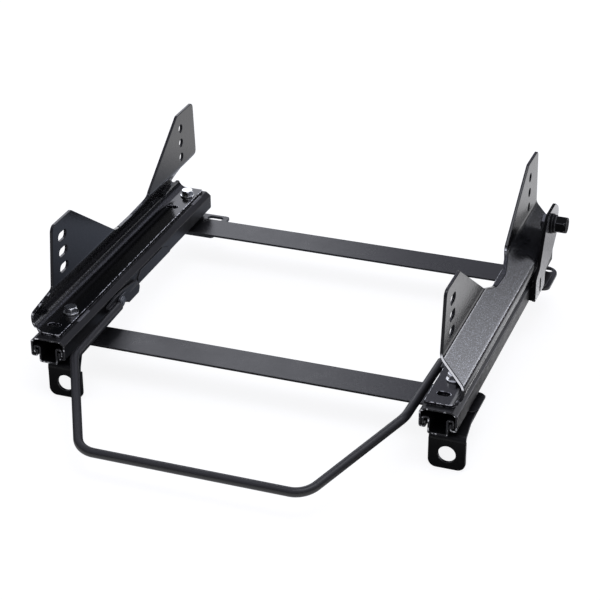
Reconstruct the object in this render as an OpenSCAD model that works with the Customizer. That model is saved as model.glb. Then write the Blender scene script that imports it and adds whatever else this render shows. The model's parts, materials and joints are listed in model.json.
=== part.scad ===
// Seat slide rail for a side-mounted bucket seat: two locking slides on cross bars, with side brackets,
// a lift-up release handle and a belt anchor. Right is +X, the rear of the car is +Y, the floor is Z = 0.

/* [Rails] */
// Distance between the centre lines of the two slides
rail_spacing = 394; // [380:1:420]
// Length of the upper and lower rails
rail_len = 372; // [356:1:380]
// Front end of the rails, ahead of the middle of the seat bolts
rail_front = 192; // [188:1:196]
// Sheet thickness of the rails
rail_t = 1.8; // [1.6:0.1:1.9]
// Outer width of the lower rail's channel
lower_w = 19.6; // [19.2:0.1:20]
// Outer width across the lower rail's hooks
hook_w = 30.6; // [30.3:0.1:30.8]
// Height of the lower rail
lower_h = 17.7; // [17.4:0.1:18]
// Length of the lower rail's turned-down hooks
hook_len = 8.2; // [7.8:0.1:8.4]
// Outer width of the upper rail
upper_w = 36.6; // [36.2:0.1:37.4]
// Width of the upper rail's flat crown
crown_w = 25.6; // [25:0.1:26.2]
// Top of the crown above the underside of the lower rail
crown_rise = 26.3; // [26:0.1:27]
// Drop of the upper rail's sloping shoulders
shoulder_drop = 3.5; // [3:0.1:4]
// Underside of the upper rail above the underside of the lower rail
lip_lift = 6; // [5.6:0.1:6.2]
// Height of the upper rail's turned-up lips
lip_h = 7; // [6:0.1:8]
// Side gap between the interlocked lips and hooks
lip_gap = 0.6; // [0.5:0.05:0.7]

/* [Ball cages] */
// Thickness of the cage strips
cage_t = 1; // [0.8:0.1:1.2]
// Width of the cage strips
cage_w = 8; // [7.8:0.1:8.2]
// Length of one cage strip
cage_len = 60; // [50:1:62]
// Distance from mid-rail to the middle of each cage
cage_y = 100; // [95:1:105]
// Number of balls in a cage
cage_balls = 3; // [2:1:4]
// Clearance of balls and cages
ball_gap = 0.3; // [0.2:0.05:0.4]

/* [Side brackets] */
// Sheet thickness of the side brackets
bracket_t = 3.2; // [2.6:0.1:3.6]
// Shift of both brackets to the left of the slides' middle
bracket_shift = 3; // [2:0.5:4]
// Distance between the middle planes of the left and right seat tabs
tab_spacing = 392; // [386:1:398]
// Distance from the front to the rear seat bolts
bolt_pitch = 290; // [280:1:300]
// Height of the front top seat hole above the floor
top_hole_z = 156; // [152:1:162]
// Height step between the holes of one tab
hole_step = 16.8; // [15:0.1:18]
// How much lower the rear tab's holes are
rear_drop = 2.5; // [0:0.5:5]
// Diameter of the seat bolt holes
seat_hole_d = 9; // [8.4:0.1:10]
// Length of the slotted front holes
seat_slot_len = 17; // [14:0.5:20]
// Height of the tab edge above the top hole
tab_head = 17.6; // [14:0.1:20]
// Width of a base plate across the rail
base_w = 32; // [30:0.5:34]
// Extra width of the right base, outward
right_base_more = 4.5; // [4.5:0.1:5]
// How far the base reaches inward from the rail's centre line
base_in = 13; // [12:0.5:15]
// Front end of the base, behind the rail's front end
base_front = 7; // [4:0.5:10]
// Rear end of the base, ahead of the rail's rear end
base_rear = 3; // [2:0.5:6]
// Width of the spare slots in the base
base_slot_w = 7.5; // [5:0.5:8]
// Length of the spare slots in the base
base_slot_len = 13; // [11:0.5:14]
// Height of the upright flange above the base
flange_h = 15.5; // [14:0.5:18]
// Height of the crease where the tabs begin
crease_z = 109.5; // [105:0.5:113]
// Bend radius of the bracket sheet
bracket_bend = 11; // [9:0.5:11]

/* [Fasteners] */
// Diameter of the bracket bolts
bracket_bolt_d = 8; // [8:0.5:8]
// Front bracket bolts, ahead of the middle of the seat bolts
front_bolt_y = 139; // [134:1:144]
// Rear bracket bolts, behind the middle of the seat bolts
rear_bolt_y = 156; // [150:1:160]
// Diameter of the frame rivets under the lower rails
rivet_d = 6; // [5:0.5:6]
// Diameter of the rivets' countersunk ends
rivet_sink_d = 10; // [9:0.5:10.5]
// Distance between the two frame rivets of a corner
rivet_pitch = 20; // [18:1:22]

/* [Cross bars and feet] */
// Width of the cross bars
bar_w = 38; // [36:1:40]
// Thickness of the cross bars
bar_t = 2.4; // [2.2:0.1:3]
// Overhang of the bars past the rail's outer sides
bar_over = 5; // [3:0.5:8]
// Middle of the front bar, ahead of the middle of the seat bolts
front_bar_y = 123; // [118:1:128]
// Middle of the rear bar, behind the middle of the seat bolts
rear_bar_y = 146.5; // [142:0.5:150]
// Sheet thickness of the feet
foot_t = 3.2; // [3:0.1:4]
// Underside of the foot plates above the floor
foot_drop = 33.4; // [31:0.1:36]
// Width of the hanging front tongues
tongue_w = 36; // [33:0.5:40]
// Front face of the tongues, behind the rail's front end
tongue_back = 7; // [4:0.5:10]
// Hole in each front tongue
tongue_hole_d = 17; // [14:0.5:18]
// Height of the tongue hole above the floor
tongue_hole_z = 15.5; // [14:0.5:18]
// Sideways offset of the left tongue from its rail, inward
left_tongue_in = 13; // [11:0.5:15]
// Inner edge of the left front foot's plate, in from its rail's centre line
left_plate_in = 18; // [14:0.5:20]
// Sideways offset of the right tongue from its rail, outward
right_tongue_out = 7.5; // [6:0.5:9]
// Outer edge of the right front foot's plate, out from its rail's centre line
right_plate_out = 22; // [18:0.5:24]
// Slot width in the rear feet
rear_slot_w = 9; // [8:0.5:10]
// Slot length in the rear feet
rear_slot_len = 18; // [14:1:22]
// Distance of the left rear slot from its rail's centre line, inward
left_slot_in = 26; // [24:0.5:28]
// Distance of the right rear slot from its rail's centre line, outward
right_slot_out = 12.5; // [11:0.5:14]

/* [Release handle] */
// Diameter of the handle rod
rod_d = 9; // [8:0.5:10]
// Bend radius of the rod's centre line
rod_bend = 24; // [20:1:28]
// Inward distance of the arms from the rail's centre line, where they turn
arm_in = 30; // [29.5:0.5:31]
// Inward distance of the arms' rear ends from the rail's centre line
arm_rear_in = 27.2; // [27:0.1:28]
// Height of the arms and of the pivot above the lower rail's underside
arm_rise = 15; // [14:0.5:16]
// Half width of the handle's front run, corner to corner
grip_half = 110; // [95:1:120]
// Front run, ahead of the middle of the seat bolts
grip_y = 307; // [295:1:315]
// Height of the front run above the floor
grip_z = 26.4; // [24:0.1:32]
// Where the arms turn inward, ahead of the rail's front end
arm_turn = 3; // [0:1:8]
// Rear end of the rod's arms, ahead of the middle of the seat bolts
arm_end_y = 86; // [85:1:90]

/* [Latch] */
// Handle pivot, ahead of the middle of the seat bolts
pivot_y = 75; // [73:1:77]
// Diameter of the pivot studs
stud_d = 6; // [5:0.5:6.5]
// Clearance of the lever bores on studs and rod
pin_gap = 0.05; // [0.03:0.01:0.08]
// Thickness of the levers
lever_t = 2.6; // [2.4:0.1:2.7]
// Gap between the rail's inner side and the lever
lever_off = 1.5; // [1.5:0.1:1.8]
// Middle lock tooth, ahead of the middle of the seat bolts
tooth_y = 40; // [40:10:40]
// Distance between lock notches and between teeth
notch_pitch = 10; // [10:1:10]
// Width of one lock tooth
tooth_w = 5; // [4:0.5:5.5]
// Thickness of the teeth across the rail
tooth_t = 2.4; // [2:0.1:2.6]
// Side clearance of a tooth in its notch
tooth_gap = 0.8; // [0.8:0.1:1]
// Clearance of a tooth in the upper rail's window, along the rail
window_gap = 1.3; // [1.2:0.1:1.4]
// Gap between the teeth and the lower rail's hook when the latch is just free
tooth_free = 0.4; // [0.3:0.1:0.6]
// Fall of the teeth's foot below the upper rail when the latch is just free
foot_fall = 2.6; // [2.5:0.1:2.7]
// Rear end of the latch covers, behind the middle of the seat bolts
cover_rear = 62; // [55:1:64]
// Length of the latch covers
cover_len = 84; // [74:1:86]
// Height of the latch covers
cover_h = 13; // [11:0.5:13]
// Thickness of the latch covers
cover_t = 1.2; // [1:0.1:1.2]

/* [Belt anchor] */
// Thickness of the anchor plate
anchor_t = 3.2; // [3:0.1:4]
// Gap between the rail's outer side and the anchor plate
anchor_off = 3; // [2.5:0.1:4]
// Diameter of the belt bolt
belt_bolt_d = 11; // [10:0.5:12]
// Belt bolt behind the middle of the seat bolts
belt_bolt_y = 132; // [128:1:136]
// Height of the belt bolt above the floor
belt_bolt_z = 111.5; // [108:0.5:114]

/* [Hidden] */
$fn = 48;
eps = 0.01;

rail_x = rail_spacing / 2;
rail_z = foot_drop + foot_t + bar_t;
rail_back = rail_len - rail_front;
lower_half = lower_w / 2;
hook_u = (hook_w - rail_t) / 2;
lip_u = hook_u - rail_t - lip_gap;
side_u = (upper_w - rail_t) / 2;
crown_z = rail_z + crown_rise;

tab_u = rail_x - tab_spacing / 2;
base_z = crown_z + bracket_t;
base_y0 = base_front - rail_front;
base_y1 = rail_back - base_rear;
tab_top = top_hole_z + tab_head;
seat_y = bolt_pitch / 2;
left_tail = 40;
right_tail = 37;

foot_z = foot_drop + foot_t;
rear_foot_y1 = rear_bar_y + bar_w / 2 + rear_slot_w + 8;
rivet_hole_d = rivet_d + 0.4;
rivet_sink_h = (rivet_sink_d - rivet_d) / 2;
bar_half = rail_x + upper_w / 2 + bar_over;
tongue_y = tongue_back - rail_front;

arm_x = rail_x - arm_in;
arm_turn_y = -rail_front - arm_turn;
arm_z = rail_z + arm_rise;
lever_u0 = upper_w / 2 + lever_off;

anchor_x = rail_x + upper_w / 2 + anchor_off;
belt_head = 11.5;
belt_washer_t = 3;
belt_flange_t = 3;
belt_nut_h = 5;

x_max = anchor_x + anchor_t + belt_washer_t + belt_flange_t + belt_head;
x_min = -bar_half;
y_max = max(rail_back, seat_y + left_tail, rear_foot_y1);
y_min = -grip_y - rod_d / 2;
origin = [(x_max + x_min) / 2, (y_max + y_min) / 2, 0];

black = [0.07, 0.07, 0.08];
gloss = [0.13, 0.13, 0.14];
zinc = [0.80, 0.81, 0.80];
steel = [0.55, 0.56, 0.58];

// Helpers for bent sheet and rounded outlines

function unit(v) = v / norm(v);
function turn_left(v) = [-v[1], v[0]];

// Points of the arc of radius r that rounds the corner b between a and c
function corner_arc(a, b, c, r, n = 8) =
    let (p = unit(a - b), q = unit(c - b), half = acos(p * q) / 2)
    r <= 0 || half > 89.9 ? [b] :
    let (centre = b + unit(p + q) * r / sin(half),
         from = b + p * r / tan(half) - centre,
         to = b + q * r / tan(half) - centre,
         a0 = atan2(from[1], from[0]),
         raw = atan2(to[1], to[0]) - a0,
         sweep = raw > 180 ? raw - 360 : raw < -180 ? raw + 360 : raw)
    [for (i = [0 : n]) centre + r * [cos(a0 + sweep * i / n), sin(a0 + sweep * i / n)]];

// Closed outline from points [x, y, corner radius]
function rounded(pts) =
    let (n = len(pts))
    [for (i = [0 : n - 1])
        let (a = pts[(i + n - 1) % n], b = pts[i], c = pts[(i + 1) % n])
        each corner_arc([a[0], a[1]], [b[0], b[1]], [c[0], c[1]], b[2])];

// Open path with every bend rounded to radius r
function bent(pts, r) =
    let (n = len(pts))
    [for (i = [0 : n - 1])
        each (i == 0 || i == n - 1 ? [pts[i]] : corner_arc(pts[i - 1], pts[i], pts[i + 1], r))];

// Outline of a sheet of thickness t along a path
function sheet(path, t) =
    let (n = len(path),
         side = [for (i = [0 : n - 1])
            let (back = unit(path[max(i, 1)] - path[max(i, 1) - 1]),
                 ahead = unit(path[min(i, n - 2) + 1] - path[min(i, n - 2)]),
                 mid = unit(back + ahead))
            turn_left(mid) / (mid * ahead)])
    concat([for (i = [0 : n - 1]) path[i] + side[i] * t / 2],
           [for (i = [n - 1 : -1 : 0]) path[i] - side[i] * t / 2]);

// Moves a piece from the slide's own place to the part's origin
module place() {
    translate(-origin) children();
}

// A slide seen with +X inward: the left one as drawn, the right one mirrored
module slide(right) {
    if (right) translate([rail_x, 0, 0]) mirror([1, 0, 0]) children();
    else translate([-rail_x, 0, 0]) children();
}

// A section in X and Z, run along Y from y0 to y1
module along_y(y0, y1) {
    translate([0, y1, 0]) rotate([90, 0, 0]) linear_extrude(y1 - y0) children();
}

// An outline in Y and Z, run along X from x0 to x1
module along_x(x0, x1) {
    translate([x0, 0, 0]) rotate([90, 0, 90]) linear_extrude(x1 - x0) children();
}

// A round bar along X
module bar_x(x0, x1, d) {
    translate([x0, 0, 0]) rotate([0, 90, 0]) cylinder(d = d, h = x1 - x0);
}

// A slot cutter along X with its long side on Y
module slot_x(x0, x1, len, w) {
    for (e = [-1, 1]) translate([0, e * (len - w) / 2, 0]) bar_x(x0, x1, w);
    translate([x0, -(len - w) / 2, -w / 2]) cube([x1 - x0, len - w, w]);
}

// A slot cutter along Z with its long side on X
module slot_z(z0, z1, len, w) {
    for (e = [-1, 1]) translate([e * (len - w) / 2, 0, z0]) cylinder(d = w, h = z1 - z0);
    translate([-(len - w) / 2, -w / 2, z0]) cube([len - w, w, z1 - z0]);
}

// Lower rails, fixed to the floor frame

module lower_section() {
    wall_u = lower_half - rail_t / 2;
    top = lower_h - rail_t / 2;
    path = [[hook_u, lower_h - hook_len], [hook_u, top], [wall_u, top], [wall_u, rail_t / 2],
            [-wall_u, rail_t / 2], [-wall_u, top], [-hook_u, top], [-hook_u, lower_h - hook_len]];
    polygon(sheet(bent(path, rail_t * 0.75), rail_t));
}

module lower_rail(right) {
    notch_w = tooth_w + 2 * tooth_gap;
    notch_h = 5.5;
    slide(right) translate([0, 0, rail_z]) difference() {
        along_y(-rail_front, rail_back) lower_section();
        for (i = [-11 : 9])
            translate([hook_u - rail_t, i * notch_pitch - tooth_y - notch_w / 2, lower_h - hook_len - 1])
                cube([2 * rail_t, notch_w, notch_h + 1]);
        rivet_spots() translate([0, 0, -1]) cylinder(d = rivet_hole_d, h = rail_t + 2);
    }
}

// The four frame rivets of one rail, two over each cross bar
module rivet_spots() {
    for (y = [-front_bar_y, rear_bar_y]) rivet_pair(y) children();
}

module rivet_pair(y) {
    for (e = [-0.5, 0.5]) translate([0, y + e * rivet_pitch, 0]) children();
}

module lower_rail_left() {
    color(black) place() lower_rail(false);
}

module lower_rail_right() {
    color(black) place() lower_rail(true);
}

// Cross bars: flat bars under both lower rails

module crossbar(y) {
    corner = 8;
    place() difference() {
        translate([0, y, rail_z - bar_t]) linear_extrude(bar_t) polygon(rounded([
            [-bar_half, -bar_w / 2, corner], [bar_half, -bar_w / 2, corner],
            [bar_half, bar_w / 2, corner], [-bar_half, bar_w / 2, corner]]));
        for (right = [false, true]) slide(right) rivet_pair(y)
            translate([0, 0, rail_z - bar_t - 1]) cylinder(d = rivet_hole_d, h = bar_t + 2);
    }
}

module front_crossbar() {
    color(gloss) crossbar(-front_bar_y);
}

module rear_crossbar() {
    color(gloss) crossbar(rear_bar_y);
}

// Countersunk rivet hole through a foot plate
module foot_rivet_hole() {
    translate([0, 0, foot_drop - 1]) cylinder(d = rivet_hole_d, h = foot_t + 2);
    translate([0, 0, foot_drop - eps])
        cylinder(d1 = rivet_sink_d + rivet_hole_d - rivet_d, d2 = rivet_hole_d, h = rivet_sink_h);
}

// Front feet: plates under the front bar, bent down into tongues with one big hole

module front_foot(right) {
    mid = right ? -right_tongue_out : left_tongue_in;
    y1 = bar_w / 2 - front_bar_y;
    hip = 8.5;
    inner = right ? hip : left_plate_in;
    outer = right ? -right_plate_out : -hip;
    taper = tongue_y + 30;
    slide(right) difference() {
        intersection() {
            along_x(min(mid - tongue_w / 2, outer) - 1, max(mid + tongue_w / 2, inner) + 1)
                polygon(sheet(bent([[y1, foot_z - foot_t / 2], [tongue_y + foot_t / 2, foot_z - foot_t / 2],
                                    [tongue_y + foot_t / 2, 0]], 5), foot_t));
            union() {
                translate([0, 0, foot_drop - 6]) linear_extrude(foot_t + 7) polygon([
                    [mid - tongue_w / 2, tongue_y - 1], [mid + tongue_w / 2, tongue_y - 1],
                    [inner, taper], [inner, y1], [outer, y1], [outer, taper]]);
                along_y(tongue_y - 1, tongue_y + foot_t + 9) polygon(rounded([
                    [mid - tongue_w / 2, 0, 8], [mid + tongue_w / 2, 0, 8],
                    [mid + tongue_w / 2, foot_drop - 3, 0], [mid - tongue_w / 2, foot_drop - 3, 0]]));
            }
        }
        translate([mid, tongue_y - 1, tongue_hole_z]) rotate([-90, 0, 0])
            cylinder(d = tongue_hole_d, h = foot_t + 2);
        rivet_pair(-front_bar_y) foot_rivet_hole();
    }
}

module front_foot_left() {
    color(black) place() front_foot(false);
}

module front_foot_right() {
    color(black) place() front_foot(true);
}

// Rear feet: flat plates under the rear bar with a crosswise slot

module rear_foot(right) {
    slot_u = right ? -right_slot_out : left_slot_in;
    rim = rear_slot_len / 2 + 5.5;
    inner = right ? 15 : slot_u + rim;
    outer = right ? slot_u - rim : -10;
    y0 = rear_bar_y - bar_w / 2 + 2;
    y1 = rear_foot_y1;
    slide(right) difference() {
        translate([0, 0, foot_drop]) linear_extrude(foot_t) polygon(rounded([
            [outer, y0, right ? 8 : 4], [inner, y0, 4], [inner, y1, 4], [outer, y1, right ? 16 : 4]]));
        translate([slot_u, y1 - rear_slot_w / 2 - 4, 0])
            slot_z(foot_drop - 1, foot_z + 1, rear_slot_len, rear_slot_w);
        rivet_pair(rear_bar_y) foot_rivet_hole();
    }
}

module rear_foot_left() {
    color(black) place() rear_foot(false);
}

module rear_foot_right() {
    color(black) place() rear_foot(true);
}

// Frame rivets: button heads in the lower rails, countersunk ends flush in the feet

module frame_rivets() {
    head_d = 10.5;
    head_h = 3.3;
    floor_z = rail_z + rail_t;
    foot_face = foot_drop + 0.2;
    color(steel) place() for (right = [false, true]) slide(right) rivet_spots() {
        translate([0, 0, foot_face]) cylinder(d = rivet_d, h = floor_z - foot_face + eps);
        translate([0, 0, foot_face]) cylinder(d1 = rivet_sink_d, d2 = rivet_d, h = rivet_sink_h);
        translate([0, 0, floor_z]) rotate_extrude() polygon(rounded([
            [0, 0, 0], [head_d / 2, 0, 0], [head_d / 2, head_h, head_h * 0.7], [0, head_h, 0]]));
    }
}

// Upper rails: the sliding half, folded round the lower rails

stud_neck = stud_d - 2;

// The lock teeth of one slide
module tooth_spots() {
    for (i = [-1 : 1]) translate([hook_u, i * notch_pitch - tooth_y, 0]) children();
}

module upper_section() {
    top = crown_rise - rail_t / 2;
    bottom = lip_lift + rail_t / 2;
    path = [[lip_u, lip_lift + lip_h], [lip_u, bottom], [side_u, bottom], [side_u, top - shoulder_drop],
            [crown_w / 2, top], [-crown_w / 2, top], [-side_u, top - shoulder_drop], [-side_u, bottom],
            [-lip_u, bottom], [-lip_u, lip_lift + lip_h]];
    polygon(sheet(bent(path, rail_t * 0.75), rail_t));
}

module upper_rail(right) {
    slide(right) translate([0, 0, rail_z]) difference() {
        along_y(-rail_front, rail_back) upper_section();
        tooth_spots() translate([-tooth_t / 2 - 0.3, -tooth_w / 2 - window_gap, lip_lift - 1])
            cube([tooth_t + 0.6, tooth_w + 2 * window_gap, rail_t + 2]);
        bracket_bolt_spots() translate([0, 0, crown_rise - rail_t - 1])
            cylinder(d = bracket_bolt_d + 0.4, h = rail_t + 2);
        translate([side_u - rail_t, -pivot_y, arm_rise]) bar_x(0, 2 * rail_t, stud_neck);
    }
}

// The two bracket bolts of one rail
module bracket_bolt_spots() {
    for (y = [-front_bolt_y, rear_bolt_y]) translate([0, y, 0]) children();
}

module upper_rail_left() {
    color(gloss) place() upper_rail(false);
}

module upper_rail_right() {
    color(gloss) place() upper_rail(true);
}

// Side brackets: one folded sheet each, from the base over a leaning wall to two seat tabs

// Outer edge of a base
function base_out(right) = base_in - base_w - (right ? right_base_more : 0);

module bracket_section(right) {
    mid = base_z - bracket_t / 2;
    flange_u = base_out(right) + bracket_t / 2;
    path = [[base_in, mid], [flange_u, mid], [flange_u, base_z + flange_h], [tab_u, crease_z], [tab_u, tab_top + 1]];
    polygon(sheet(bent(path, bracket_bend), bracket_t));
}

// Side view of wall and tabs; the left one starts further forward and is notched under its rear tab
function wall_outline(right) =
    let (nose = base_y0 + (right ? 7 : 4), brow = base_y0 + (right ? 11.6 : 13.8),
         foot = base_z + 1, lean = base_z + flange_h, rear_top = tab_top - rear_drop,
         tail = seat_y + (right ? right_tail : left_tail), notch_r = 31, under = crease_z - 3,
         notch = [for (i = [0 : 6]) [base_y1 - notch_r * cos(15 * i), under - notch_r * sin(15 * i), 0]],
         back = right
            ? [[tail, crease_z, 12], [tail - 1, lean, 6], [base_y1, foot, 0]]
            : concat([[tail, under + 10, 6], [tail, under, 3]], notch, [[base_y1, foot, 0]]))
    concat([[nose, foot, 0], [nose, lean, 10], [brow, crease_z, 20],
            [brow + 7, tab_top, 7], [22 - seat_y, tab_top, 5],
            [117 - seat_y, crease_z - 0.5, 12], [137 - seat_y, crease_z - 7, 30],
            [seat_y - 121, crease_z - 8, 20], [seat_y - 93, crease_z - 2.5, 20], [seat_y - 86, crease_z + 5.5, 12],
            [seat_y - 8, rear_top, 5], [tail - 5, rear_top, 6]], back);

module side_bracket(right) {
    difference() {
        translate([-bracket_shift, 0, 0]) slide(right) difference() {
            intersection() {
                along_y(base_y0, base_y1 + 20) bracket_section(right);
                union() {
                    translate([0, 0, crown_z - 1]) linear_extrude(bracket_t + 3) polygon(rounded([
                        [base_in, base_y0, 2], [base_in, base_y1, 2],
                        [base_out(right), base_y1, 4], [base_out(right), base_y0, right ? 13 : 17]]));
                    along_x(base_out(right) - 1, tab_u + bracket_t) polygon(rounded(wall_outline(right)));
                }
            }
            for (i = [0 : 2]) {
                translate([0, -seat_y, top_hole_z - i * hole_step])
                    slot_x(tab_u - bracket_t, tab_u + bracket_t, seat_slot_len, seat_hole_d);
                translate([0, seat_y, top_hole_z - rear_drop - i * hole_step])
                    bar_x(tab_u - bracket_t, tab_u + bracket_t, seat_hole_d);
            }
            for (y = [base_y0 + 18, rear_bolt_y - 33])
                translate([-1, y, 0]) slot_z(crown_z - 1, base_z + 1, base_slot_len, base_slot_w);
        }
        slide(right) bracket_bolt_spots() translate([0, 0, crown_z - 1])
            cylinder(d = bracket_bolt_d + 0.4, h = bracket_t + 2);
    }
}

module side_bracket_left() {
    color(gloss) place() side_bracket(false);
}

module side_bracket_right() {
    color(gloss) place() side_bracket(true);
}

// Bracket bolts: zinc flange bolts through base and crown into thin square weld nuts

nut_t = 3;

module bracket_bolts() {
    flange_d = 15.5;
    flange_t = 1.6;
    head_af = 12;
    head_h = 5.6;
    reach = bracket_t + rail_t + nut_t + 2;
    color(zinc) place() for (right = [false, true]) slide(right) bracket_bolt_spots()
        translate([0, 0, base_z]) {
            cylinder(d = flange_d, h = flange_t);
            translate([0, 0, flange_t]) intersection() {
                cylinder(d = head_af / cos(30), h = head_h, $fn = 6);
                cylinder(d1 = head_af * 1.5, d2 = head_af * 0.98, h = head_h);
            }
            translate([0, 0, -reach]) cylinder(d = bracket_bolt_d, h = reach + eps);
        }
}

module bracket_nuts() {
    nut_side = 12.4;
    color(steel) place() for (right = [false, true]) slide(right) bracket_bolt_spots()
        translate([0, 0, crown_z - rail_t - nut_t]) difference() {
            translate([-nut_side / 2, -nut_side / 2, 0]) cube([nut_side, nut_side, nut_t]);
            translate([0, 0, -1]) cylinder(d = bracket_bolt_d, h = nut_t + 2);
        }
}

// Latch covers: thin strips welded along the inner sides over the lock's guide slots

module latch_covers() {
    y0 = cover_rear - cover_len;
    z0 = rail_z + lip_lift + 1.5;
    z1 = z0 + cover_h;
    color(gloss) place() for (right = [false, true]) slide(right)
        along_x(upper_w / 2, upper_w / 2 + cover_t) polygon(rounded([
            [y0, z0, 2], [cover_rear, z0, 2], [cover_rear, z0 + cover_h * 0.4, 3],
            [cover_rear - 1.5 * cover_h, z1, 5], [y0 + 0.6 * cover_h, z1, 4], [y0, z0 + cover_h * 0.5, 3]]));
}

// Pivot studs on the upper rails, with their return springs and clips

spring_wire = 1.4;
spring_turns = 2;
spring_pitch = spring_wire * 0.9;
spring_u = lever_u0 + lever_t + 0.4;
clip_t = 1.2;
clip_u = spring_u + (spring_turns - 1) * spring_pitch + spring_wire + 0.1;

module pivot_studs() {
    wall = upper_w / 2;
    color(zinc) place() for (right = [false, true]) slide(right)
        translate([0, -pivot_y, arm_z]) {
            bar_x(wall, clip_u + clip_t + 0.6, stud_d);
            bar_x(wall, wall + lever_off - 0.3, stud_d + 5);
            bar_x(wall - rail_t, wall + eps, stud_neck);
        }
}

module pivot_clips() {
    color(zinc) place() for (right = [false, true]) slide(right)
        translate([0, -pivot_y, arm_z]) difference() {
            bar_x(clip_u, clip_u + clip_t, stud_d + 5);
            bar_x(clip_u - 1, clip_u + clip_t + 1, stud_d);
        }
}

module lever_springs() {
    ring = (stud_d + spring_wire) / 2;
    tail = 13;
    leg = spring_wire * 0.8;
    leg_out = ring + 0.35;
    color(steel) place() for (right = [false, true]) slide(right)
        translate([spring_u + spring_wire / 2, -pivot_y, arm_z]) {
            rotate([0, 90, 0]) rotate_extrude()
                for (i = [0 : spring_turns - 1]) translate([ring, i * spring_pitch])
                    circle(d = spring_wire, $fn = 24);
            for (e = [0, 1])
                translate([e * (spring_turns - 1) * spring_pitch, 0, (1 - 2 * e) * leg_out])
                    rotate([-90, 0, 0]) cylinder(d = leg, h = tail, $fn = 24);
        }
}

// Release handle: one bent rod from lever to lever, a hair thicker where it is bent

rod_swell = 0.04;
rod_lap = 0.5;

function rod_path() =
    let (end_x = rail_x - arm_rear_in)
    [[-end_x, -arm_end_y, arm_z], [-arm_x, arm_turn_y, arm_z], [-grip_half, -grip_y, grip_z],
     [grip_half, -grip_y, grip_z], [arm_x, arm_turn_y, arm_z], [end_x, -arm_end_y, arm_z]];

// Length cut off each side of the corner b by the bend
function bend_cut(a, b, c, r) = r / tan(acos(unit(a - b) * unit(c - b)) / 2);

module rod_straight(a, b, thick = rod_d) {
    d = b - a;
    flat = norm([d[0], d[1]]);
    translate(a) rotate([0, atan2(flat, d[2]), atan2(d[1], d[0])]) cylinder(d = thick, h = norm(d));
}

module rod_elbow(a, b, c) {
    travel = unit(b - a);
    normal = unit(cross(travel, unit(c - b)));
    out = cross(travel, normal);
    start = b - travel * bend_cut(a, b, c, rod_bend);
    translate(start - out * rod_bend)
        rotate([atan2(travel[2], normal[2]), asin(-out[2]), atan2(out[1], out[0])])
            rotate_extrude(angle = acos(travel * unit(c - b))) translate([rod_bend, 0])
                circle(d = rod_d + 2 * rod_swell);
}

module release_handle() {
    p = rod_path();
    n = len(p);
    cut = [for (i = [0 : n - 1]) i == 0 || i == n - 1 ? 0 : bend_cut(p[i - 1], p[i], p[i + 1], rod_bend) - rod_lap];
    color(black) place() {
        for (i = [0 : n - 2]) {
            d = unit(p[i + 1] - p[i]);
            rod_straight(p[i] + d * cut[i], p[i + 1] - d * cut[i + 1]);
        }
        for (i = [1 : n - 2]) rod_elbow(p[i - 1], p[i], p[i + 1]);
    }
}

// Lock levers: stamped plates that turn on the studs, with a cradle welded to the rod in front
// and a folded foot behind, whose teeth rise through the upper rail into the lower rail's notches

module lock_lever(right) {
    cradle_len = 16;
    cradle_h = 7;
    cradle_u = arm_rear_in - rod_d / 2 + 1.5;
    front = -arm_end_y - cradle_len;
    eye = 9;
    foot_y0 = -tooth_y - 1.25 * notch_pitch;
    foot_y1 = -tooth_y + 1.25 * notch_pitch;
    foot_top = rail_z + lip_lift - foot_fall;
    foot_h = 1.8;
    tip = rail_z + lower_h - hook_len - tooth_free;
    low = foot_top - foot_h - arm_z;
    slide(right) difference() {
        union() {
            along_x(lever_u0, lever_u0 + lever_t) translate([0, arm_z]) polygon(rounded([
                [front, -5, 2], [-pivot_y - eye, -eye + 2.5, 4], [-pivot_y + 4, -eye, 5],
                [foot_y0 - 2, low + 5, 4], [foot_y0, low, 2], [foot_y1, low, 2], [foot_y1 + 3, low + 6, 4],
                [foot_y1 - 1, 2, 5], [-pivot_y + eye, eye - 2, 6], [-pivot_y - eye, eye - 2, 6], [front, 5, 2]]));
            translate([hook_u - tooth_t / 2, foot_y0, foot_top - foot_h])
                cube([lever_u0 + eps - hook_u + tooth_t / 2, foot_y1 - foot_y0, foot_h]);
            tooth_spots() translate([-tooth_t / 2, -tooth_w / 2, foot_top - foot_h])
                cube([tooth_t, tooth_w, tip - foot_top + foot_h]);
            translate([lever_u0, front, arm_z - cradle_h / 2]) cube([cradle_u - lever_u0, cradle_len, cradle_h]);
        }
        rod_straight([2 * arm_rear_in - arm_in, -arm_turn_y - 2 * arm_end_y, arm_z],
                     [arm_in, arm_turn_y, arm_z], rod_d + 2 * pin_gap);
        translate([0, -pivot_y, arm_z]) bar_x(lever_u0 - 1, lever_u0 + lever_t + 1, stud_d + 2 * pin_gap);
    }
}

module lock_lever_left() {
    color(black) place() lock_lever(false);
}

module lock_lever_right() {
    color(black) place() lock_lever(true);
}

// Belt anchor on the right slide: a plate stood off the rail by two short flanges, with its bolt

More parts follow.
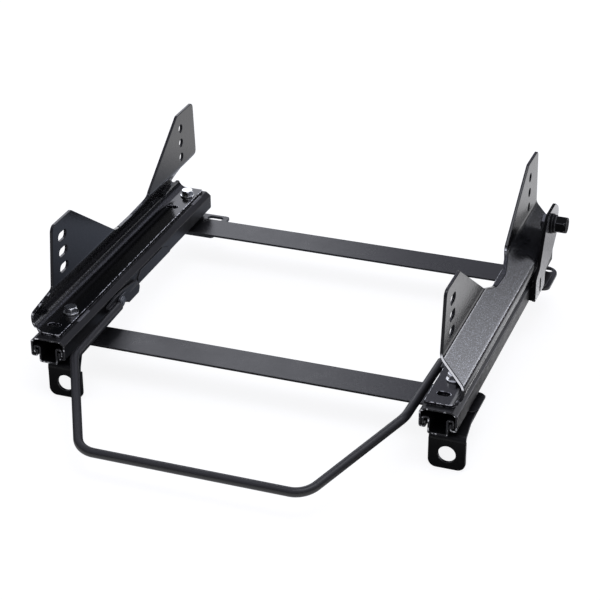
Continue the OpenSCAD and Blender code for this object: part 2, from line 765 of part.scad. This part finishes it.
module belt_anchor() {
    foot = rail_z + lip_lift + 0.5;
    y0 = 79;
    y1 = 119;
    shelf = foot + 20;
    color(gloss) place() difference() {
        union() {
            along_x(anchor_x, anchor_x + anchor_t) polygon(rounded([
                [y0, foot, 1], [y0, shelf + 5, 6], [y0 + 14, shelf + 12, 10],
                [belt_bolt_y - 14, belt_bolt_z + 14, 8], [belt_bolt_y + 20, belt_bolt_z + 14, 13],
                [belt_bolt_y + 37, belt_bolt_z + 3, 10], [belt_bolt_y + 35, belt_bolt_z - 26, 14],
                [belt_bolt_y + 12, shelf + 2, 14], [y1, shelf - 3, 6], [y1, foot, 5]]));
            for (y = [y0, y1 - 6 - anchor_t])
                translate([anchor_x - anchor_off, y, foot + 1]) cube([anchor_off + eps, anchor_t, shelf - 6 - foot]);
        }
        translate([0, (y0 + y1) / 2, foot + 11]) rotate([90, 0, 0])
            slot_x(anchor_x - 1, anchor_x + anchor_t + 1, 15, 5);
        translate([0, belt_bolt_y, belt_bolt_z]) bar_x(anchor_x - 1, anchor_x + anchor_t + 1, belt_bolt_d + 0.4);
    }
}

module belt_washer() {
    face = anchor_x + anchor_t;
    color(black) place() translate([0, belt_bolt_y, belt_bolt_z]) difference() {
        bar_x(face, face + belt_washer_t, belt_bolt_d + 10);
        bar_x(face - 1, face + belt_washer_t + 1, belt_bolt_d);
    }
}

module belt_bolt() {
    seat = anchor_x + anchor_t + belt_washer_t;
    af = 16;
    color(black) place() translate([0, belt_bolt_y, belt_bolt_z]) {
        bar_x(anchor_x - belt_nut_h - 1.5, seat + eps, belt_bolt_d);
        bar_x(seat, seat + belt_flange_t, belt_bolt_d + 8);
        translate([seat + belt_flange_t, 0, 0]) rotate([0, 90, 0]) intersection() {
            cylinder(d = af / cos(30), h = belt_head, $fn = 6);
            cylinder(d1 = af * 1.6, d2 = af * 1.0, h = belt_head);
        }
    }
}

module belt_nut() {
    af = 17;
    color(steel) place() translate([anchor_x - belt_nut_h, belt_bolt_y, belt_bolt_z]) rotate([0, 90, 0]) difference() {
        cylinder(d = af / cos(30), h = belt_nut_h, $fn = 6);
        translate([0, 0, -1]) cylinder(d = belt_bolt_d, h = belt_nut_h + 2);
    }
}

// Ball cages between the lower rail's flanges and the crown: two strips on each side of a rail

ball_d = crown_rise - rail_t - lower_h - 2 * ball_gap;
ball_w = (crown_rise - rail_t + lower_h) / 2;
cage_u = lower_half + 1.6;

module cage_spots() {
    for (side = [-1, 1], y = [-1, 1] * cage_y) translate([side * cage_u, y, ball_w]) children();
}

module ball_spots() {
    step = cage_len / cage_balls;
    for (i = [0 : cage_balls - 1]) translate([0, (i - (cage_balls - 1) / 2) * step, 0]) children();
}

module cages(right) {
    slide(right) translate([0, 0, rail_z]) cage_spots() difference() {
        translate([-cage_w / 2, -cage_len / 2, -cage_t / 2]) cube([cage_w, cage_len, cage_t]);
        ball_spots() translate([0, 0, -cage_t]) cylinder(d = ball_d + 0.1, h = 2 * cage_t);
    }
}

module balls(right) {
    slide(right) translate([0, 0, rail_z]) cage_spots() ball_spots() sphere(d = ball_d);
}

module cages_left() {
    color(zinc) place() cages(false);
}

module cages_right() {
    color(zinc) place() cages(true);
}

module balls_left() {
    color(steel) place() balls(false);
}

module balls_right() {
    color(steel) place() balls(true);
}

lower_rail_left();
lower_rail_right();
front_crossbar();
rear_crossbar();
front_foot_left();
front_foot_right();
rear_foot_left();
rear_foot_right();
frame_rivets();
upper_rail_left();
upper_rail_right();
side_bracket_left();
side_bracket_right();
bracket_bolts();
bracket_nuts();
latch_covers();
pivot_studs();
pivot_clips();
lever_springs();
belt_anchor();
belt_bolt();
belt_washer();
belt_nut();
release_handle();
lock_lever_left();
lock_lever_right();
cages_left();
cages_right();
balls_left();
balls_right();
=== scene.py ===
import json
import math

import bpy
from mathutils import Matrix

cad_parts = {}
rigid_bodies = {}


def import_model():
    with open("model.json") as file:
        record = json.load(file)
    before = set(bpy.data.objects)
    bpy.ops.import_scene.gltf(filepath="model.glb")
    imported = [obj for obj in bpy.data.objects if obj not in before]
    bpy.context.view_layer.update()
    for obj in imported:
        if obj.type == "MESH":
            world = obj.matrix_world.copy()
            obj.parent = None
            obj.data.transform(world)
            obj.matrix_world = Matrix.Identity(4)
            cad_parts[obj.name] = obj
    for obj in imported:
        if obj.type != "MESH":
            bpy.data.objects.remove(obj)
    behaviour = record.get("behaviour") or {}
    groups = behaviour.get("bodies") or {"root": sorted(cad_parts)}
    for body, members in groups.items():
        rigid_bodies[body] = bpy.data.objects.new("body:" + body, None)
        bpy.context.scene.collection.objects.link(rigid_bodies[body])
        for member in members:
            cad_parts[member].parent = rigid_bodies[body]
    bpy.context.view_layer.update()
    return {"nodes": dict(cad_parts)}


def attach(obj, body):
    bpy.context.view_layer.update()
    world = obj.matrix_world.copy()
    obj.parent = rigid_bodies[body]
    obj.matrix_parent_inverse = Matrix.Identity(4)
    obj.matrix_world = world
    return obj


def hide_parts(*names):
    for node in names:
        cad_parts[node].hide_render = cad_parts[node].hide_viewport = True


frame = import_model()
scene = bpy.context.scene


# Studio: a pale floor under a faintly blue sky that is dim near the horizon, a soft panel behind
# on the left for the bars to mirror and one overhead. The camera stands in front on the right,
# where the photograph was taken from.
bpy.ops.object.select_all(action="DESELECT")
scene.view_settings.view_transform = "Standard"

sky = bpy.data.worlds.new("white_sky")
sky.use_nodes = True
sky_tree = sky.node_tree
glow = sky_tree.nodes["Background"].inputs
glow["Color"].default_value = (0.89, 0.90, 1.08, 1.0)
heading = sky_tree.nodes.new("ShaderNodeTexCoord")
axes = sky_tree.nodes.new("ShaderNodeSeparateXYZ")
rise = sky_tree.nodes.new("ShaderNodeMapRange")
for key, value in (("From Min", 0.30), ("From Max", 0.46), ("To Min", 0.08), ("To Max", 0.60)):
    rise.inputs[key].default_value = value
sky_tree.links.new(heading.outputs["Generated"], axes.inputs[0])
sky_tree.links.new(axes.outputs["Z"], rise.inputs["Value"])
sky_tree.links.new(rise.outputs[0], glow["Strength"])
scene.world = sky


def soft_panel(name, place, aim, size, watts):
    """One square area light at place, turned to face aim."""
    bpy.ops.object.light_add(type="AREA", location=place)
    panel = bpy.context.object
    panel.name = name
    panel.data.shape = "SQUARE"
    panel.data.size = size
    panel.data.energy = watts
    panel.data.color = (0.92, 0.94, 1.0)
    turn = [aim[i] - place[i] for i in range(3)]
    level = math.hypot(turn[0], turn[1])
    panel.rotation_euler = (math.atan2(level, -turn[2]), 0.0, math.atan2(-turn[0], turn[1]))


soft_panel("panel_back_left", (-1.28, 1.95, 1.25), (0.0, 0.0, 0.1), 1.4, 8)
soft_panel("panel_over", (0.4, -0.3, 2.4), (0.0, 0.0, 0.0), 1.6, 18)

floor_size = 30.0
bpy.ops.mesh.primitive_plane_add(size=floor_size, location=(0.0, 0.0, 0.0))
floor = bpy.context.object
floor.name = "floor"
bpy.ops.object.transform_apply()
floor.visible_glossy = False

bpy.ops.mesh.primitive_plane_add(size=floor_size, location=(0.0, 0.0, -0.001))
card = bpy.context.object
card.name = "grey_card"
bpy.ops.object.transform_apply()
card.visible_camera = card.visible_diffuse = card.visible_shadow = False

bpy.ops.mesh.primitive_plane_add(size=0.7, location=(0.86, 0.86, 0.29),
                                 rotation=(math.radians(80), 0.0, math.radians(-30)))
wing = bpy.context.object
wing.name = "white_card"
wing.visible_camera = wing.visible_diffuse = wing.visible_shadow = False

bpy.ops.object.camera_add(location=(0.58052, -1.56500, 0.95980))
camera = bpy.context.object
camera.rotation_euler = [math.radians(a) for a in (62.2445, 0.2204, 19.9874)]
camera.data.lens = 114.538
camera.data.sensor_width = 36.0
scene.camera = camera


# Finishes are written as expressions: a Wire is one socket of a material, and sums, differences
# and products of wires add the Math nodes. A Finish is one material with its shader.
class Wire:
    def __init__(self, finish, socket):
        self.finish, self.socket = finish, socket

    def _math(self, kind, first, second):
        return self.finish.node("ShaderNodeMath", {"operation": kind}, {0: first, 1: second})

    def __add__(self, other):
        return self._math("ADD", self, other)

    def __radd__(self, other):
        return self._math("ADD", other, self)

    def __sub__(self, other):
        return self._math("SUBTRACT", self, other)

    def __rsub__(self, other):
        return self._math("SUBTRACT", other, self)

    def __mul__(self, other):
        return self._math("MULTIPLY", self, other)

    def __rmul__(self, other):
        return self._math("MULTIPLY", other, self)

    def step(self, low, high):
        """0 below low, 1 above high, smooth between."""
        return self.finish.node("ShaderNodeMapRange", {"interpolation_type": "SMOOTHSTEP"},
                                {"Value": self, "From Min": low, "From Max": high})

    def band(self, low, full, last, high):
        """1 from full to last, fading to 0 at low and at high."""
        return self.step(low, full) * (1.0 - self.step(last, high))


class Finish:
    def __init__(self, name):
        self.material = bpy.data.materials.new(name)
        self.material.use_nodes = True
        self.tree = self.material.node_tree
        self.shader = self.tree.nodes["Principled BSDF"]
        self.place = self.node("ShaderNodeTexCoord", {}, {}, "Object")

    def node(self, kind, settings, values, out=0):
        """A node with its settings, then its socket values or links; gives one output's wire."""
        made = self.tree.nodes.new(kind)
        for key, value in settings.items():
            setattr(made, key, value)
        for key, value in values.items():
            if isinstance(value, Wire):
                self.tree.links.new(value.socket, made.inputs[key])
            else:
                made.inputs[key].default_value = value
        return Wire(self, made.outputs[out])

    def axis(self, letter):
        """The place along X, Y or Z, in metres."""
        return self.node("ShaderNodeSeparateXYZ", {}, {0: self.place}, letter)

    def noise(self, scale, detail=2.0, rough=0.5):
        return self.node("ShaderNodeTexNoise", {}, {"Vector": self.place, "Scale": scale,
                                                    "Detail": detail, "Roughness": rough})

    def mix(self, factor, dark, light):
        """Colour between dark and light by factor."""
        made = self.tree.nodes.new("ShaderNodeMix")
        made.data_type = "RGBA"
        self.tree.links.new(factor.socket, made.inputs["Factor"])
        for key, value in ((6, dark), (7, light)):
            if isinstance(value, Wire):
                self.tree.links.new(value.socket, made.inputs[key])
            else:
                made.inputs[key].default_value = (*value, 1.0)
        return Wire(self, made.outputs[2])

    def bump(self, height, distance, strength):
        return self.node("ShaderNodeBump", {}, {"Height": height, "Distance": distance,
                                                "Strength": strength})

    def set(self, **sockets):
        """Values and wires onto the shader; Base_Color means Base Color."""
        for key, value in sockets.items():
            socket = self.shader.inputs[key.replace("_", " ")]
            if isinstance(value, Wire):
                self.tree.links.new(value.socket, socket)
            else:
                socket.default_value = value
        return self.material


# Floor: a sheet of matt white paper, a little uneven. Most of its white is its own glow, so that
# it stays white round the part as in the photograph.
paper = Finish("white_paper")
floor.data.materials.append(paper.set(
    Base_Color=paper.mix(paper.noise(6.0), (0.25, 0.25, 0.25), (0.27, 0.27, 0.27)), Roughness=0.9,
    Specular_IOR_Level=0.1, Emission_Color=(1.0, 1.0, 1.0, 1.0), Emission_Strength=0.85))


# Grey card: what the gloss paint mirrors in place of the floor. Its dark, bluish area under the
# part is painted shade, the floor's shadow round the part as the paint mirrors it. It is bright in
# front, behind and on its right, with bright strips that the right rail's outer side and the right
# bracket mirror, and a faint one on the left, as painted highlights. White card: a board beyond
# the right rail, fading to the rear, that lights the right bracket's leaning wall.
black = (0.0, 0.0, 0.0)
grey = Finish("grey_card")
right, back = grey.axis("X"), grey.axis("Y")
# Dark under the part: painted shade of the floor; the strips and patch below are painted
# highlights.
before_rear_end = 1.0 - back.step(0.2, 0.4)
rail_strip = right.band(0.2215, 0.2245, 0.2295, 0.2315) * before_rear_end
tab_patch = right.band(0.232, 0.262, 0.262, 0.40) * back.step(0.03, 0.09) * before_rear_end
left_strip = right.band(-0.165, -0.155, -0.135, -0.125) * back.step(-0.05, -0.01)
behind = 0.18 * back.step(-0.04, 0.31) + 0.31 * back.step(0.36, 0.52)
rear = behind * (1.0 - right.step(0.27, 0.46))
front = 1.0 - back.step(-0.235, -0.165)
light = 0.015 + rear + 0.95 * rail_strip + 0.45 * tab_patch + 0.05 * left_strip + 0.45 * front
clear = back.step(0.2, 0.5) + right.step(0.16, 0.22) + (1.0 - back.step(-0.2, -0.1))
card.data.materials.append(grey.set(
    Base_Color=(*black, 1.0), Roughness=1.0, Specular_IOR_Level=0.0, Emission_Strength=2.0,
    Emission_Color=grey.mix(light, black,
                            grey.mix(clear, (0.86, 0.95, 1.2), (0.99, 0.99, 1.02)))))

white = Finish("white_card")
along = white.axis("X")
foot = 1.0 - white.axis("Y").step(-0.26, -0.22)
fade = along.step(-0.42, 0.24) * 0.4 + along.step(-0.24, -0.14) * foot * 0.4
wing.data.materials.append(white.set(
    Base_Color=(*black, 1.0), Roughness=1.0, Specular_IOR_Level=0.0, Emission_Strength=11.5,
    Emission_Color=white.mix(fade, black, (0.92, 0.93, 1.0))))


# Lower rails: rolled steel channels with turned-down hooks, dipped in thin satin black paint,
# which lies thinner and greyer on the edges and is broken on the sawn front ends. They are
# riveted to the cross bars and feet.
def satin_black(name, shade, gloss, shine=0.5):
    """Thin dipped paint: slightly cloudy, with fine specks of dust under it."""
    coat = Finish(name)
    cloud = coat.noise(38.0, 4.0, 0.6)
    grain = coat.noise(1900.0, 2.0, 0.6)
    thick = (shade * 0.7, shade * 0.7, shade * 0.75)
    thin = (shade * 1.4, shade * 1.4, shade * 1.5)
    return coat.set(Base_Color=coat.mix(cloud, thick, thin),
                    Roughness=gloss + 0.14 * (cloud - 0.5) + 0.06 * grain,
                    Specular_IOR_Level=shine,
                    Normal=coat.bump(grain * 0.5 + coat.noise(260.0) * 0.9, 0.00012, 0.5))


def dress(node, body, skin, edge_width, edge_skin=None, angle=32.0, cut_skin=None,
          cut=lambda normal: normal.y < -0.7):
    """A finished copy of a CAD node: merged, its edges rounded as paint does, in its own skin.

    cut_skin goes on the faces that cut picks, or else on those that look forward. Corners that
    the rounding throws off the solid are put back onto it.
    """
    bpy.ops.object.select_all(action="DESELECT")
    solid = frame["nodes"][node]
    solid.select_set(True)
    bpy.context.view_layer.objects.active = solid
    bpy.ops.object.duplicate(linked=False)
    piece = bpy.context.object
    piece.name = node + "_painted"
    bpy.ops.object.parent_clear(type="CLEAR_KEEP_TRANSFORM")
    bpy.ops.object.transform_apply()
    bpy.ops.mesh.customdata_custom_splitnormals_clear()
    bpy.ops.object.mode_set(mode="EDIT")
    bpy.ops.mesh.select_all(action="SELECT")
    bpy.ops.mesh.remove_doubles(threshold=0.000005)
    bpy.ops.mesh.dissolve_limited(angle_limit=math.radians(0.6))
    bpy.ops.object.mode_set(mode="OBJECT")
    piece.data.materials.clear()
    for coat in (skin, edge_skin or skin, cut_skin or skin):
        piece.data.materials.append(coat)
    for face in piece.data.polygons:
        face.material_index = 2 if cut_skin and cut(face.normal) else 0
    if edge_width:
        edge = piece.modifiers.new("painted_edge", "BEVEL")
        edge.limit_method, edge.angle_limit = "ANGLE", math.radians(angle)
        edge.width, edge.segments = edge_width, 2
        edge.use_clamp_overlap = False
        edge.material = 1
        bpy.ops.object.modifier_apply(modifier=edge.name)
        too_deep, too_proud = edge_width * 0.6, 0.000001
        world = solid.matrix_world
        home = world.inverted()
        for point in piece.data.vertices:
            found, spot, out, _ = solid.closest_point_on_mesh(home @ point.co)
            spot = world @ spot
            off = point.co - spot
            if found and (off.length > too_deep or off.dot(world.to_3x3() @ out) > too_proud):
                point.co = spot
    bpy.ops.object.shade_smooth_by_angle(angle=math.radians(angle))
    flat = piece.modifiers.new("flat_faces", "WEIGHTED_NORMAL")
    flat.keep_sharp = True
    flat.weight = 100
    bpy.ops.object.modifier_apply(modifier=flat.name)
    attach(piece, body)
    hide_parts(node)


def sheared_edge(name, cover, low, top):
    """A cut edge with thin, broken paint, over bright steel between the heights low and top."""
    edge = Finish(name)
    heights = edge.axis("Z").band(low - 0.001, low + 0.001, top - 0.002, top + 0.002)
    bare = edge.noise(300.0, 3.0, 0.6).step(cover, cover + 0.1) * heights
    return edge.set(Base_Color=edge.mix(bare, (0.008, 0.008, 0.010), (0.82, 0.83, 0.86)),
                    Metallic=bare, Roughness=0.22 + 0.2 * edge.noise(1500.0),
                    Specular_IOR_Level=0.2, Normal=edge.bump(bare, 0.0001, 0.6))


rail_black = satin_black("rail_black", 0.004, 0.34, 0.2)
rail_edge = satin_black("rail_edge", 0.030, 0.34)
rail_cut = sheared_edge("rail_cut", 0.57, 0.0, 0.066)
for side in ("left", "right"):
    dress("lower_rail_" + side, "floor_frame", rail_black, 0.00025, rail_edge,
          cut_skin=rail_cut)


# Cross bars: flat steel bars across the car under both rails, cut to length and painted in a
# smooth gloss black that mirrors the room. Rivets through rail, bar and foot hold them.
bar_black = satin_black("bar_black", 0.007, 0.26)
bar_edge = satin_black("bar_edge", 0.022, 0.30)
for end in ("front", "rear"):
    dress(end + "_crossbar", "floor_frame", bar_black, 0.0005, bar_edge)


# Feet: steel plates under the bars, the front ones bent down to a tongue with a bolt hole and the
# rear ones flat with a slot. They are riveted to the bars and painted with the frame.
for foot_node, coat in (("front_foot_left", rail_black), ("front_foot_right", rail_black),
                        ("rear_foot_left", bar_black), ("rear_foot_right", bar_black)):
    dress(foot_node, "floor_frame", coat, 0.0005, bar_edge)


# Frame rivets: plain steel rivets with button heads inside the lower rails, through rail, bar and
# foot. Their lower ends are countersunk in the feet, so that nothing stands out below.
def plated(name, colour, gloss):
    """Bright plating with faint clouds and turning marks."""
    plate = Finish(name)
    cloud = plate.noise(320.0, 3.0, 0.6)
    dull = [c * 0.82 for c in colour]
    return plate.set(Base_Color=plate.mix(cloud, dull, colour), Metallic=1.0,
                     Roughness=gloss + 0.16 * (cloud - 0.4),
                     Normal=plate.bump(plate.noise(2600.0), 0.00004, 0.4))


zinc = plated("bright_zinc", (0.94, 0.95, 0.94), 0.18)
bare_steel = plated("bare_steel", (0.55, 0.56, 0.57), 0.32)
dress("frame_rivets", "floor_frame", bare_steel, 0.0002)


# Ball cages and balls: punched zinc-plated strips that keep ground steel balls apart. They lie
# loose between lower and upper rail, hidden, and roll half as far as the seat slides.
for side in ("left", "right"):
    dress("cages_" + side, "cage_set_" + side, zinc, 0.0001)
    dress("balls_" + side, "cage_set_" + side, bare_steel, 0)


# Upper rails: rolled steel rails folded round the lower ones, in black with broken paint on the
# sawn front ends, and the thin steel covers of the latches, welded to their inner sides.
upper_black = satin_black("upper_black", 0.006, 0.36, 0.4)
for side in ("left", "right"):
    dress("upper_rail_" + side, "seat_carriage", upper_black, 0.00025, rail_edge,
          cut_skin=rail_cut)
dress("latch_covers", "seat_carriage", upper_black, 0.0003, rail_edge)


# Side brackets: thick folded sheet in a textured powder coat, whose fine flakes glitter on the
# leaning walls. The coat is thin on the sheared edges, where metal shows through. They are bolted
# to the upper rails.
def powder_black(name, shade, gloss):
    """Powder coat with an orange-peel skin, and flakes at the height of the leaning walls."""
    coat = Finish(name)
    cloud = coat.noise(30.0, 4.0, 0.55)
    grain = coat.noise(750.0, 3.0, 0.6)
    flow = coat.noise(240.0, 2.0, 0.5)
    walls = coat.axis("Z").band(0.0688, 0.0705, 0.106, 0.114)
    flakes = coat.noise(1000.0, 1.0, 0.5).step(0.52, 0.64) * walls
    thick = (shade * 0.8, shade * 0.8, shade * 0.9)
    thin = (shade * 1.3, shade * 1.3, shade * 1.45)
    paint = coat.mix(cloud, thick, thin)
    return coat.set(Base_Color=coat.mix(flakes, paint, (0.15, 0.155, 0.17)), Metallic=flakes,
                    Roughness=gloss + 0.08 * (cloud - 0.5) + 0.06 * grain,
                    Normal=coat.bump(grain * 0.7 + flow * 0.6, 0.0004, 0.25))


bracket_black = powder_black("bracket_black", 0.0015, 0.09)
bracket_edge = sheared_edge("bracket_edge", 0.44, 0.0, 0.0695)
for side, cover, low in (("left", 0.54, 0.0), ("right", 0.30, 0.082)):
    dress("side_bracket_" + side, "seat_carriage", bracket_black, 0.0006,
          bracket_edge, cut_skin=sheared_edge("bracket_cut_" + side, cover, low, 0.112))


# Weld beads: short runs of overlapping drops along the inner edge of the left base, laid beside
# each bolt to hold the bracket to the rail's crown, and painted over with it. Their grey, much
# lighter than the bracket's black, is a painted highlight for light catching the sloped beads.
weld_grey_painted_highlight = satin_black("weld_grey_painted_highlight", 0.10, 0.25)
drop_radius, drop_pitch, drop_count = 0.0019, 0.0017, 14
bead_x, bead_z = -0.1942, 0.0655
for name, start in (("weld_front", -0.0845), ("weld_rear", 0.2045)):
    bpy.ops.object.select_all(action="DESELECT")
    bpy.ops.mesh.primitive_uv_sphere_add(segments=20, ring_count=12, radius=drop_radius,
                                         location=(bead_x, start, bead_z))
    bead = bpy.context.object
    bead.name = name
    bead.scale = (0.95, 1.0, 0.7)
    bpy.ops.object.transform_apply()
    run = bead.modifiers.new("run", "ARRAY")
    run.count, run.use_relative_offset, run.use_constant_offset = drop_count, False, True
    run.constant_offset_displace = (0.0, drop_pitch, 0.0)
    bpy.ops.object.modifier_apply(modifier=run.name)
    melt = bead.modifiers.new("melt", "REMESH")
    melt.mode, melt.voxel_size = "VOXEL", 0.00022
    bpy.ops.object.modifier_apply(modifier=melt.name)
    calm = bead.modifiers.new("calm", "SMOOTH")
    calm.factor, calm.iterations = 0.5, 2
    bpy.ops.object.modifier_apply(modifier=calm.name)
    bpy.ops.object.shade_smooth()
    bead.data.materials.append(weld_grey_painted_highlight)
    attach(bead, "seat_carriage")


# Bracket bolts: bright zinc flange bolts, forged and plated, through the bracket's base and the
# rail's crown. Plain steel nuts are welded under the crown.
dress("bracket_bolts", "seat_carriage", zinc, 0.0004)
dress("bracket_nuts", "seat_carriage", bare_steel, 0.0003)


# Pivot studs: turned pins set in the upper rails' inner sides, on which the levers swing. A clip
# keeps each lever on its stud, and a coil of dark spring wire round the stud returns it.
dull_zinc = plated("dull_zinc", (0.30, 0.31, 0.32), 0.42)
dark_steel = plated("dark_steel", (0.12, 0.12, 0.13), 0.40)
dress("pivot_studs", "seat_carriage", dull_zinc, 0.0003)
dress("pivot_clips", "seat_carriage", dull_zinc, 0.0002)
dress("lever_springs", "seat_carriage", dark_steel, 0)


# Release handle: one bent steel rod in satin black, its ends welded into the cradles of the two
# lock levers. The levers are stamped plates with teeth on a folded foot, painted with the rod.
rod_black = satin_black("rod_black", 0.010, 0.34)
dress("release_handle", "release", rod_black, 0.0003, angle=50.0)
for side in ("left", "right"):
    dress("lock_lever_" + side, "release", rod_black, 0.0003, rail_edge)


# Belt anchor: a bent plate stood off the right rail, in a thick clear-lacquered black that mirrors
# the floor, dull on its cut edges, and its dull black bolt and washer with a steel nut.
# The plate's dark grey base colour, lighter than black paint, is a painted sheen added to what it
# mirrors.
plate_black_painted_sheen = satin_black("plate_black_painted_sheen", 0.11, 0.22)
lacquer = plate_black_painted_sheen.node_tree.nodes["Principled BSDF"].inputs
lacquer["Coat Weight"].default_value = 1.0
lacquer["Coat Roughness"].default_value = 0.2
bolt_black = satin_black("bolt_black", 0.003, 0.46, 0.06)
dress("belt_anchor", "seat_carriage", plate_black_painted_sheen, 0.0005, bolt_black,
      cut_skin=bolt_black, cut=lambda normal: abs(normal.x) < 0.5)
dress("belt_washer", "seat_carriage", bolt_black, 0.0003, rail_edge)
dress("belt_bolt", "seat_carriage", bolt_black, 0.0004, rail_edge)
dress("belt_nut", "seat_carriage", dark_steel, 0.0003)
